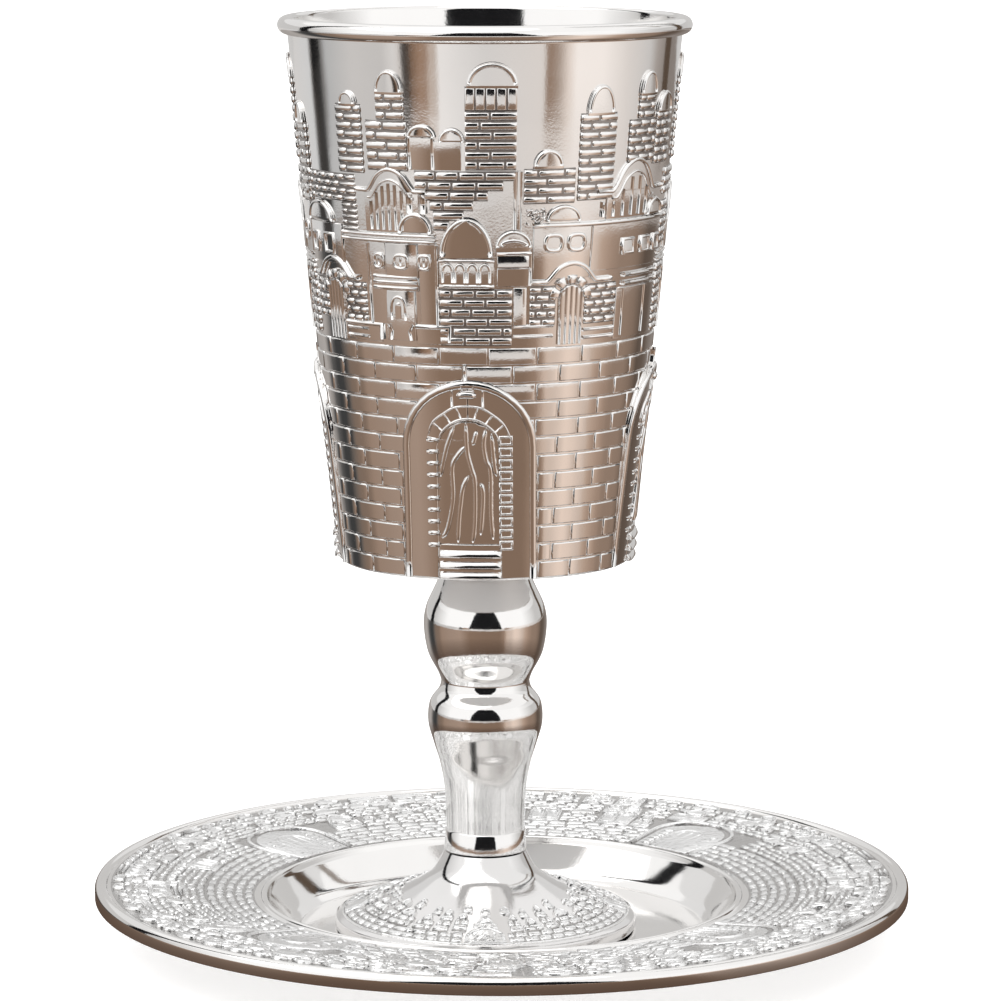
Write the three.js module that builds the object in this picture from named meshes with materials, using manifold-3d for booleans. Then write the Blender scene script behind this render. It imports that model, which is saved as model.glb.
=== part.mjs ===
// A silver kiddush cup standing in its saucer: a tall tapering bowl with a rolled rim, a turned
// stem with two knops, a flared round foot, and a wide saucer whose well takes the foot.
// The bowl, the foot and the saucer carry a low relief of a walled city: a wall with gateways
// below (or nearest the well) and towers, domes and arches above it.
//
// Millimetres, +Z up. The origin is the centre of the saucer's underside, so the cup stands on
// z = 0. Angles are in degrees about the cup's own axis, 0 facing -Y and growing towards +X.
import * as THREE from 'three';
import { mergeVertices } from 'three/addons/utils/BufferGeometryUtils.js';
import Module from 'manifold-3d';

// ---- Driving dimensions ----------------------------------------------------------------

const GAP = 0.3; // clearance kept between two pieces that rest on each other

const SAUCER = {
  radius: 75, // outside of the turned-down edge
  sheet: 1.3, // thickness of the metal
  floorRadius: 37.6, // flat floor of the well
  floorTop: 1.4,
  wallTopRadius: 43.1, // where the well's wall meets the bead
  beadRadius: 43.9,
  beadTop: 8.1,
  borderInner: 44.9, // the relief border, from here ...
  borderInnerZ: 7.7,
  borderOuter: 72.7, // ... to here
  borderOuterZ: 10.6,
  lipTop: 11.2,
  edgeFoot: 8.0, // lower end of the turned-down edge
  edgeThickness: 1.1,
  segments: 40,
};

const CUP_X = -3; // the cup stands a little to one side of the well's centre

const FOOT = {
  bottom: SAUCER.floorTop + GAP,
  rimRadius: 27.8,
  rimHeight: 2.3,
  topRadius: 7.5,
  top: 15.9, // the seam with the stem
  sheet: 1.3,
  segments: 28,
};

const STEM = {
  bottom: FOOT.top + GAP,
  top: 67.7, // just under the bowl
  neckRadius: 7.25,
  lowerKnopRadius: 10.5,
  lowerKnopZ: 41.0,
  waistRadius: 8.1, // the crease between the two knops
  waistZ: 47.9,
  upperKnopRadius: 11.3,
  upperKnopZ: 58.2,
  collarRadius: 8.8,
  segments: 24,
};

const BOWL = {
  bottom: STEM.top + GAP,
  edge: 71.0, // lower edge of the tapering wall
  edgeRadius: 26.5,
  coneTop: 164.4, // where the wall runs into the rim
  coneTopRadius: 35.33,
  wall: 1.2,
  floor: 72.6, // inside floor
  floorFillet: 4,
  rimCentre: 167.8,
  rimRingRadius: 35.8,
  rimTube: 1.55,
  segments: 36,
};

const RELIEF_ROOT = 0.5; // how deep a raised figure is rooted in the metal below it
const ARCH_COLUMNS = 4; // facets across a small round-headed figure
const WIDE_ARCH = 8; // an arch wider than this gets two facets more
const PLAIN_COLUMN = 6.5; // widest facet of a flat-headed figure

// ---- Colours ---------------------------------------------------------------------------

const SILVER = { color: 0xe6e4e1, roughness: 0.12, metalness: 1.0 };

// ---- Turned bodies ---------------------------------------------------------------------

const wasm = await Module();
wasm.setup();

const vec = (x, y) => new THREE.Vector2(x, y);
const radians = THREE.MathUtils.degToRad;

// Points along an arc about (cx, cy), from one angle to another in degrees, both ends included.
function arc(cx, cy, radius, from, to, steps) {
  return Array.from({ length: steps + 1 }, (_, i) => {
    const a = radians(from + ((to - from) * i) / steps);
    return vec(cx + radius * Math.cos(a), cy + radius * Math.sin(a));
  });
}

// A smooth curve through a few points of a profile.
function smooth(points, steps) {
  return new THREE.SplineCurve(points).getPoints(steps);
}

// A closed mesh becomes a solid: shared corners are merged and empty triangles dropped.
function solidOf(geometry) {
  const bare = geometry.clone();
  bare.deleteAttribute('normal');
  bare.deleteAttribute('uv');
  const merged = mergeVertices(bare, 1e-4);
  const corners = merged.index.array;
  const kept = [];
  for (let i = 0; i < corners.length; i += 3) {
    const [a, b, c] = [corners[i], corners[i + 1], corners[i + 2]];
    if (a !== b && b !== c && c !== a) kept.push(a, b, c);
  }
  const mesh = new wasm.Mesh({
    numProp: 3,
    vertProperties: Float32Array.from(merged.attributes.position.array),
    triVerts: Uint32Array.from(kept),
  });
  return new wasm.Manifold(mesh);
}

// A profile of (radius, height) points, from the axis round to the axis, turned about +Z.
function turned(profile, segments) {
  const geometry = new THREE.LatheGeometry(profile, segments);
  geometry.rotateX(Math.PI / 2);
  return solidOf(geometry);
}

function geometryOf(solid) {
  const mesh = solid.getMesh();
  const geometry = new THREE.BufferGeometry();
  geometry.setAttribute('position', new THREE.BufferAttribute(mesh.vertProperties, 3));
  geometry.setIndex(new THREE.BufferAttribute(mesh.triVerts, 1));
  geometry.computeVertexNormals();
  return geometry;
}

// ---- Raised figures --------------------------------------------------------------------

// A figure of the relief is a patch of a turned surface, between its foot and its head, that
// stands proud of it. A surface is { radius(up), point(angle, up, out) }: "up" runs along its
// profile in the direction in which the figures stand, and "out" is the height of the relief.
// The head is flat, or an arch of the given rise. A figure's width is in millimetres, so its
// sides are parallel, and "lean" makes it stand further out at its head than at its foot.
function raised(surface, { at, width, foot, head, rise = 0, proud, lean = 0, rows = 1, columns }) {
  const arched = ARCH_COLUMNS + (width > WIDE_ARCH ? 2 : 0);
  const across = columns ?? (rise ? arched : Math.ceil(width / PLAIN_COLUMN));
  const headAt = (s) => head + rise * Math.sqrt(Math.max(0, 1 - s * s));
  const corner = (i, j, side) => {
    // The columns of an arch crowd towards its springings.
    const s = rise ? -Math.cos((Math.PI * i) / across) : (2 * i) / across - 1;
    const up = foot + ((headAt(s) - foot) * j) / rows;
    const share = (up - foot) / (head + rise - foot);
    const out = side ? proud + lean * share * share : -RELIEF_ROOT;
    const angle = radians(at) + (s * width) / 2 / surface.radius(up);
    return surface.point(angle, up, out);
  };
  const place = [];
  const index = [];
  const id = (i, j, side) => (i * (rows + 1) + j) * 2 + side;
  for (let i = 0; i <= across; i++) {
    for (let j = 0; j <= rows; j++) {
      place.push(...corner(i, j, 0).toArray(), ...corner(i, j, 1).toArray());
    }
  }
  const face = (a, b, c, d) => index.push(a, b, c, a, c, d);
  for (let i = 0; i < across; i++) {
    for (let j = 0; j < rows; j++) {
      face(id(i, j, 1), id(i + 1, j, 1), id(i + 1, j + 1, 1), id(i, j + 1, 1));
      face(id(i, j, 0), id(i, j + 1, 0), id(i + 1, j + 1, 0), id(i + 1, j, 0));
    }
    face(id(i, 0, 0), id(i + 1, 0, 0), id(i + 1, 0, 1), id(i, 0, 1));
    face(id(i, rows, 1), id(i + 1, rows, 1), id(i + 1, rows, 0), id(i, rows, 0));
  }
  for (let j = 0; j < rows; j++) {
    face(id(0, j, 0), id(0, j, 1), id(0, j + 1, 1), id(0, j + 1, 0));
    face(id(across, j, 1), id(across, j, 0), id(across, j + 1, 0), id(across, j + 1, 1));
  }
  const geometry = new THREE.BufferGeometry();
  geometry.setAttribute('position', new THREE.Float32BufferAttribute(place, 3));
  // Where "up" runs outwards, the same corners go round the other way.
  geometry.setIndex(surface.outwards ? index.reverse() : index);
  return solidOf(geometry);
}

// All figures of a list, repeated round the axis, joined to the body.
function withFigures(body, surface, figures, turns) {
  const turnedTo = (turn) => figures.map((one) => ({ ...one, at: one.at + turn }));
  return turns.flatMap(turnedTo).reduce((sum, one) => sum.add(raised(surface, one)), body);
}

// ---- The city on the bowl --------------------------------------------------------------

const SLOPE = (BOWL.coneTopRadius - BOWL.edgeRadius) / (BOWL.coneTop - BOWL.edge);

// "Up" is the height above the bowl's lower edge.
const bowlSurface = {
  radius: (up) => BOWL.edgeRadius + SLOPE * up,
  point(angle, up, out) {
    const r = this.radius(up) + out;
    return new THREE.Vector3(r * Math.sin(angle), -r * Math.cos(angle), BOWL.edge + up);
  },
};

// Heights of the relief's levels, above the bowl's lower edge.
const WALL_TOP = 42; // top of the city wall with its gateways
const STREET = 54; // eaves of the lowest houses
const TERRACE = 64; // roofs of the second row
const RAMPART = 73; // foot of the towers

// The gateways: an arched panel that leans out towards its head, with a sunk door in it.
const GATE = { at: -5.8, width: 24, foot: 0.2, spring: 24.2, rise: 12, proud: 0.2, lean: 0.8 };
const GATE_DOOR = { width: 11.1, foot: 6.5, spring: 23.4, rise: 5.6, depth: 0.35 };
const GATE_TURNS = [0, 90, 180, 270];
const DOOR_CUT = 2; // how far the cutter for a door reaches out past the panel

// The face of the sunk doors: it lies a little behind the leaning face of the gateway.
const doorSurface = {
  radius: bowlSurface.radius,
  point(angle, up, out) {
    const share = up / (GATE.spring + GATE.rise);
    const face = GATE.proud + GATE.lean * share * share - GATE_DOOR.depth;
    return bowlSurface.point(angle, up, out < 0 ? face : face + out);
  },
};

const LOW = 0.38; // relief heights of the city's layers
const MID = 0.46;
const HIGH = 0.56;

// A flat block of houses or of wall.
const block = (at, width, foot, head, proud = MID) => [{ at, width, foot, head, proud }];

// An arch, or a tower as wide as its dome: it stands on its foot and is round above the spring.
const round = (at, width, foot, spring, rise, proud = HIGH) => [
  { at, width, foot, head: spring, rise, proud },
];

// A tower whose dome is narrower than its body.
const tower = (at, width, foot, eaves, domeWidth, domeRise, proud = HIGH) => [
  ...block(at, width, foot, eaves, proud),
  ...round(at, domeWidth, eaves - 1, eaves, domeRise, proud - 0.08),
];

const CITY = [
  // Lowest row: walls and arched doorways.
  ...block(-3.2, 12.7, WALL_TOP, 52.7),
  ...block(28.7, 15.9, WALL_TOP, STREET, LOW),
  ...round(28.7, 9.5, WALL_TOP + 4, STREET - 1, 3.4),
  ...block(-27.2, 12.9, WALL_TOP + 3.5, 60.2, LOW),
  ...block(-56, 14.5, WALL_TOP, STREET, LOW),
  ...round(-57, 9.5, WALL_TOP + 4, STREET - 1, 3.4),
  ...block(90, 19, WALL_TOP, 55),
  // Second row: domes and plain fronts.
  ...round(-6, 9.3, 52.3, 57.6, 7.2),
  ...round(8.9, 6.2, 52.3, 59.8, 3.2, MID),
  ...block(25, 10.6, STREET - 0.4, TERRACE, LOW),
  ...block(50.5, 17.6, WALL_TOP, TERRACE - 0.8, LOW),
  ...round(-61, 11.5, STREET - 0.4, 62.5, 4.4),
  // Third row: arcades, a domed house and the stepped terraces.
  ...round(-30.5, 11.6, 60, 68.8, 4.4),
  ...block(-57, 15.6, 66, RAMPART - 1, LOW),
  ...tower(19.5, 9.6, TERRACE - 0.4, 73.9, 5, 3.5),
  ...round(51, 13, TERRACE - 1.2, 69.4, 4.9),
  ...block(-9.5, 12, 63.5, 73.4),
  ...round(-19.7, 4.6, RAMPART, 78.6, 2.2, LOW),
  ...round(-10.8, 4.6, RAMPART, 78.2, 2, LOW),
  // The towers on the skyline.
  ...tower(-44.5, 6.3, RAMPART - 1.4, 84.3, 4.4, 2.1),
  ...block(-31, 7.7, RAMPART - 1, 81.8),
  ...round(-29, 5.4, 81.4, 86.5, 4),
  ...round(1.4, 9, RAMPART - 0.2, 87.6, 4.5),
  ...tower(35.5, 7.4, 67.6, 82.9, 5.7, 5.1),
  ...block(54.5, 9, 73.6, 81.4),
  ...round(55.5, 5.4, 81, 85.8, 4),
  ...round(67, 6.5, 66, 82.4, 3.6),
  ...round(91, 9, 74.6, 87.6, 4.5),
  ...round(106, 6, 54.6, 80, 4),
];
const CITY_BACK = CITY.filter((one) => one.proud > LOW); // plainer: without its lowest walls

function bowlProfile() {
  const { bottom, edge, edgeRadius, wall, floor, floorFillet } = BOWL;
  const { coneTop, coneTopRadius, rimCentre, rimRingRadius, rimTube } = BOWL;
  const innerAt = (z) => edgeRadius - wall + SLOPE * (z - edge);
  const filletCentre = innerAt(floor + floorFillet) - floorFillet;
  const rim = arc(rimRingRadius, rimCentre, rimTube, -108, 218, 8);
  return [
    vec(0, bottom),
    vec(STEM.collarRadius + 1, bottom),
    ...arc(edgeRadius - 0.5, edge + 0.35, 0.5, -80, -5, 1),
    vec(coneTopRadius, coneTop),
    ...rim,
    ...arc(filletCentre, floor + floorFillet, floorFillet, 0, -90, 3),
    vec(0, floor),
  ];
}

function makeBowl() {
  const panel = { ...GATE, head: GATE.spring, rows: 2, columns: 8 };
  const doorway = { ...GATE_DOOR, head: GATE_DOOR.spring, columns: 6, proud: DOOR_CUT };
  let bowl = turned(bowlProfile(), BOWL.segments);
  for (const turn of GATE_TURNS) {
    const at = GATE.at + turn;
    bowl = bowl.add(raised(bowlSurface, { ...panel, at }));
    bowl = bowl.subtract(raised(doorSurface, { ...doorway, at }));
  }
  bowl = withFigures(bowl, bowlSurface, CITY, [0]);
  return withFigures(bowl, bowlSurface, CITY_BACK, [180]);
}

// ---- Stem ------------------------------------------------------------------------------

function stemProfile() {
  const { bottom, top, neckRadius, lowerKnopRadius, lowerKnopZ, waistRadius, waistZ } = STEM;
  const { upperKnopRadius, upperKnopZ, collarRadius } = STEM;
  const belly = [
    vec(neckRadius, bottom + 2.2),
    vec(neckRadius + 0.35, 28.4),
    vec(neckRadius + 1.1, 32.6),
    vec(neckRadius + 2.2, 36.2),
    vec(lowerKnopRadius, lowerKnopZ - 0.9),
    vec(lowerKnopRadius - 0.3, lowerKnopZ + 2.9),
    vec(waistRadius + 0.4, waistZ - 1.5),
    vec(waistRadius, waistZ),
  ];
  const shoulder = [
    vec(waistRadius, waistZ),
    vec(waistRadius + 0.6, waistZ + 1.7),
    vec(upperKnopRadius - 0.75, upperKnopZ - 4.9),
    vec(upperKnopRadius, upperKnopZ),
    vec(upperKnopRadius - 0.45, upperKnopZ + 3.5),
    vec(upperKnopRadius - 1.8, upperKnopZ + 6.6),
    vec(collarRadius, top - 1.3),
    vec(collarRadius, top),
  ];
  return [
    vec(0, bottom),
    vec(neckRadius + 0.3, bottom),
    vec(neckRadius + 0.3, bottom + 1.2),
    ...smooth(belly, 9),
    ...smooth(shoulder, 9).slice(1),
    vec(0, top),
  ];
}

const makeStem = () => turned(stemProfile(), STEM.segments);

// ---- Foot ------------------------------------------------------------------------------

const FLARE = [
  vec(FOOT.topRadius, FOOT.top),
  vec(9.4, 12.5),
  vec(11.5, 10.7),
  vec(15.5, 8.5),
  vec(21.5, 6.1),
  vec(FOOT.rimRadius - 0.4, FOOT.bottom + FOOT.rimHeight + 0.1),
];

// The relief stands on the border near the rim, and "up" runs in towards the stem.
const footSurface = {
  border: FOOT.rimRadius - 1.4,
  radius(up) {
    return this.border - up;
  },
  point(angle, up, out) {
    const r = this.radius(up);
    const i = FLARE.findIndex((p) => p.x >= r);
    const [a, b] = [FLARE[i - 1], FLARE[i]];
    const z = a.y + ((b.y - a.y) * (r - a.x)) / (b.x - a.x);
    return new THREE.Vector3(r * Math.sin(angle), -r * Math.cos(angle), z + out);
  },
};

const FOOT_HOUSES = [
  { at: -44, width: 6.5, foot: 0, head: 3.2, rise: 2, proud: 0.45 },
  { at: -12, width: 6, foot: 0, head: 6.5, proud: 0.45 },
  { at: 8, width: 4.6, foot: 0, head: 7.4, rise: 2, proud: 0.55 },
];
const FOOT_TURNS = [0, 90, 180, 270];

function makeFoot() {
  const { bottom, rimRadius, rimHeight, top, topRadius, sheet } = FOOT;
  const inner = FLARE.slice(1, -1).map((p) => vec(p.x - 0.3 * sheet, p.y - sheet));
  const profile = [
    vec(0, top - 2 * sheet),
    vec(topRadius - 1.6 * sheet, top - 2 * sheet),
    ...inner,
    vec(rimRadius - sheet, bottom + rimHeight - sheet),
    vec(rimRadius - sheet, bottom),
    vec(rimRadius, bottom),
    vec(rimRadius, bottom + rimHeight - 0.4),
    ...FLARE.slice().reverse(),
    vec(0, top),
  ];
  return withFigures(turned(profile, FOOT.segments), footSurface, FOOT_HOUSES, FOOT_TURNS);
}

// ---- Saucer ----------------------------------------------------------------------------

const BORDER_SLOPE =
  (SAUCER.borderOuterZ - SAUCER.borderInnerZ) / (SAUCER.borderOuter - SAUCER.borderInner);

// The city on the saucer stands on the bead round the well, and "up" runs outwards.
const saucerSurface = {
  outwards: true,
  border: SAUCER.borderInner + 0.6,
  radius(up) {
    return this.border + up;
  },
  point(angle, up, out) {
    const r = this.radius(up);
    const z = SAUCER.borderInnerZ + BORDER_SLOPE * (r - SAUCER.borderInner) + out;
    return new THREE.Vector3(r * Math.sin(angle), -r * Math.cos(angle), z);
  },
};

const SAUCER_TURNS = [48, 138, 228, 318];
const SAUCER_CITY = [
  { at: 0, width: 12, foot: 0, head: 9, rise: 5, proud: 0.5 },
  { at: -24, width: 9, foot: 10, head: 16, rise: 4, proud: 0.5 },
  { at: 18, width: 7, foot: 13, head: 21, rise: 3, proud: 0.5 },
  { at: 40, width: 7, foot: 9, head: 22, rise: 3, proud: 0.5 },
];

function makeSaucer() {
  const { radius, sheet, floorRadius, floorTop, wallTopRadius, beadRadius, beadTop } = SAUCER;
  const { borderInner, borderInnerZ, borderOuter, borderOuterZ } = SAUCER;
  const { lipTop, edgeFoot, edgeThickness, segments } = SAUCER;
  const profile = [
    vec(0, 0),
    vec(floorRadius + 1.1, 0),
    vec(wallTopRadius + 0.9, borderInnerZ - sheet - 0.6),
    vec(borderInner + 0.6, borderInnerZ - sheet),
    vec(borderOuter, borderOuterZ - sheet),
    vec(radius - edgeThickness, lipTop - 2),
    vec(radius - edgeThickness, edgeFoot),
    vec(radius, edgeFoot),
    ...arc(radius - 1.3, lipTop - 1.3, 1.3, 0, 90, 2),
    vec(borderOuter + 0.2, lipTop - 0.2),
    vec(borderOuter, borderOuterZ),
    vec(borderInner, borderInnerZ),
    vec(beadRadius + 0.4, beadTop),
    vec(beadRadius - 0.4, beadTop),
    vec(wallTopRadius, borderInnerZ - 0.6),
    vec(floorRadius + 1.1, floorTop + 1),
    vec(floorRadius, floorTop),
    vec(0, floorTop),
  ];
  return withFigures(turned(profile, segments), saucerSurface, SAUCER_CITY, SAUCER_TURNS);
}

// ---- The object ------------------------------------------------------------------------

function piece(name, solid) {
  const mesh = new THREE.Mesh(geometryOf(solid), new THREE.MeshStandardMaterial(SILVER));
  mesh.name = name;
  return mesh;
}

const cup = new THREE.Group();
cup.position.x = CUP_X;
cup.add(piece('foot', makeFoot()));
cup.add(piece('stem', makeStem()));
cup.add(piece('bowl', makeBowl()));

const object = new THREE.Group();
object.add(piece('saucer', makeSaucer()));
object.add(cup);

export default object;
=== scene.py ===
import random
from math import ceil, copysign, cos, hypot, pi, radians, sin, sqrt

import bpy
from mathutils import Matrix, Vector


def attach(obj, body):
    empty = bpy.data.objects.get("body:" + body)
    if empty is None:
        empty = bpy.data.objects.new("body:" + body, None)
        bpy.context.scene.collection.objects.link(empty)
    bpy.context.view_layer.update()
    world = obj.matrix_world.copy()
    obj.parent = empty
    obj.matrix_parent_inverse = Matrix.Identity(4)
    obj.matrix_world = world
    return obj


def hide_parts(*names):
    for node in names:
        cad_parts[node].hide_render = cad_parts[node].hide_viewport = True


# A silver kiddush cup in its saucer: finely turned bodies, with the relief of a walled city built
# stone by stone on them. Helpers work in millimetres and degrees: z is height above the table, r
# is distance from the axis, and 0 degrees faces -Y and grows towards +X. Meshes are in metres.

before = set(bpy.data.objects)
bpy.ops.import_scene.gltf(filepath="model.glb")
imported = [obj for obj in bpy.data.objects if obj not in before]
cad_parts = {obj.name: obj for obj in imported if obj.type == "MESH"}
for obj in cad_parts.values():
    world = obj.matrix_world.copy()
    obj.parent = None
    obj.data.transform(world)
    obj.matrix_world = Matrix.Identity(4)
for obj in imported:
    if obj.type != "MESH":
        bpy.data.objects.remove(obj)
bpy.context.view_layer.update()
rng = random.Random(18)

MM = 0.001

# ---- Driving dimensions, as in the part's source ----

GAP = 0.3
CUP_X = -3.0

SAUCER_RADIUS = 75.0
SAUCER_FLOOR_RADIUS = 37.6
SAUCER_FLOOR_TOP = 1.4
SAUCER_EDGE_FOOT = 8.0
BORDER_INNER, BORDER_INNER_Z = 44.9, 7.7
BORDER_OUTER, BORDER_OUTER_Z = 72.7, 10.6

FOOT_BOTTOM = SAUCER_FLOOR_TOP + GAP
FOOT_RIM = 27.8
FOOT_TOP = 15.9
FOOT_SHEET = 1.3

STEM_BOTTOM = FOOT_TOP + GAP
STEM_TOP = 67.7

BOWL_BOTTOM = STEM_TOP + GAP
BOWL_EDGE = 71.0
BOWL_EDGE_RADIUS = 26.5
CONE_TOP = 164.4
CONE_TOP_RADIUS = 35.33
BOWL_WALL = 1.2
BOWL_FLOOR = 72.6
FLOOR_FILLET = 4.0
RIM_CENTRE = 167.8
RIM_RING_RADIUS = 35.8
RIM_TUBE = 1.55
LIP_FILLET = 0.7
SLOPE = (CONE_TOP_RADIUS - BOWL_EDGE_RADIUS) / (CONE_TOP - BOWL_EDGE)

# The city wall's height above the bowl's lower edge, and how proud the relief's layers are.
WALL_TOP = 42.0
LOW, MID, HIGH = 0.38, 0.46, 0.56
QUARTERS = (0, 90, 180, 270)


# ---- Meshes ----

# A slot name, and the imported solids that a piece stands for.
ON_BOWL = ("cup_silver", ["bowl"])
ON_STEM = ("cup_silver", ["stem"])
ON_FOOT = ("cup_silver", ["foot"])
ON_SAUCER = ("saucer_silver", ["saucer"])


def placed(name, data):
    """A new object in the scene."""
    made = bpy.data.objects.new(name, data)
    bpy.context.scene.collection.objects.link(made)
    return made


def new_object(name, points, faces, material):
    """A mesh object in metres from points in millimetres."""
    mesh = bpy.data.meshes.new(name)
    mesh.from_pydata([(x * MM, y * MM, z * MM) for x, y, z in points], [], faces)
    mesh.validate()
    mesh.materials.append(material)
    return placed(name, mesh)


def new_piece(name, points, faces, material, slot, replaces):
    """A piece that rides on the part's body."""
    piece = new_object(name, points, faces, material)
    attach(piece, "root")
    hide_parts(*replaces)
    return piece


def shade_flat_tops(mesh, flatness):
    """Smooth shading in which large faces count for more than bevels do."""
    normals = [Vector() for _ in mesh.vertices]
    for face in mesh.polygons:
        for v in face.vertices:
            normals[v] += face.normal * face.area ** flatness
    normals = [normal.normalized() for normal in normals]
    mesh.shade_smooth()
    mesh.normals_split_custom_set_from_vertices(normals)


def arc(cx, cy, radius, start, end, steps):
    """Points along an arc about (cx, cy), from one angle to another in degrees."""
    angles = [radians(start + (end - start) * i / steps) for i in range(steps + 1)]
    return [(cx + radius * cos(a), cy + radius * sin(a)) for a in angles]


def spline(knots, steps):
    """A Catmull-Rom curve through a few points, with steps pieces between each two."""
    ends = [knots[0]] + list(knots) + [knots[-1]]
    path = []
    for i in range(1, len(ends) - 2):
        p0, p1, p2, p3 = ends[i - 1:i + 3]
        for k in range(steps):
            t = k / steps
            path.append(tuple(
                0.5 * (2 * b + (c - a) * t + (2 * a - 5 * b + 4 * c - d) * t ** 2
                       + (3 * b - a - 3 * c + d) * t ** 3)
                for a, b, c, d in zip(p0, p1, p2, p3)))
    path.append(tuple(knots[-1]))
    return path


def turned(profile, segments, axis_x):
    """Points and faces of a profile of (r, z) turned about an axis. It starts and ends on it."""
    points, faces, rings = [], [], []
    for r, z in profile:
        if r < 1e-6:
            rings.append([len(points)])
            points.append((axis_x, 0.0, z))
            continue
        rings.append(list(range(len(points), len(points) + segments)))
        for i in range(segments):
            a = 2 * pi * i / segments
            points.append((axis_x + r * sin(a), -r * cos(a), z))
    for low, high in zip(rings, rings[1:]):
        for i in range(segments):
            j = (i + 1) % segments
            around = (low, i), (low, j), (high, j), (high, i)
            corners = [ring[k % len(ring)] for ring, k in around]
            faces.append(tuple(dict.fromkeys(corners)))  # on the axis two corners fall together
    return points, faces


def turned_piece(name, profile, segments, axis_x, sharp, material, slot, replaces):
    """A turned body, shaded smooth except at edges sharper than an angle in degrees."""
    mesh = new_piece(name, *turned(profile, segments, axis_x), material, slot, replaces).data
    mesh.shade_smooth()
    mesh.set_sharp_from_angle(angle=radians(sharp))


# ---- Relief ----

BEVEL = 0.14  # how far a stone's face is set in from its outline
ROOT = 0.35  # how deep a raised body is rooted in the metal
FACET = 4.0  # widest facet across a raised face, in degrees
RIDGE = 0.85  # width of the ridges that edge arches
SHARPEST = 0.35  # limits how far a mitre reaches out at a sharp corner
SHORTEST_BRICK = 0.5  # shorter pieces of brick are left out


class Surface:
    """A turned surface. "Up" runs along its profile in the direction in which figures stand."""

    def __init__(self, profile, axis_x, flipped=False, step=100.0):
        self.profile = profile  # up -> (r, z, direction of the outward normal in r, in z)
        self.axis_x = axis_x
        self.flipped = flipped  # whether "up" runs the other way round seen from outside
        self.step = step  # longest straight piece of the profile, in millimetres

    def place(self, angle, up, out):
        r, z, nr, nz = self.profile(up)
        a = radians(angle)
        r += out * nr
        return self.axis_x + r * sin(a), -r * cos(a), z + out * nz

    def degree(self, up):
        """Length of one degree of arc, in millimetres."""
        return radians(self.profile(up)[0])


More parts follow.
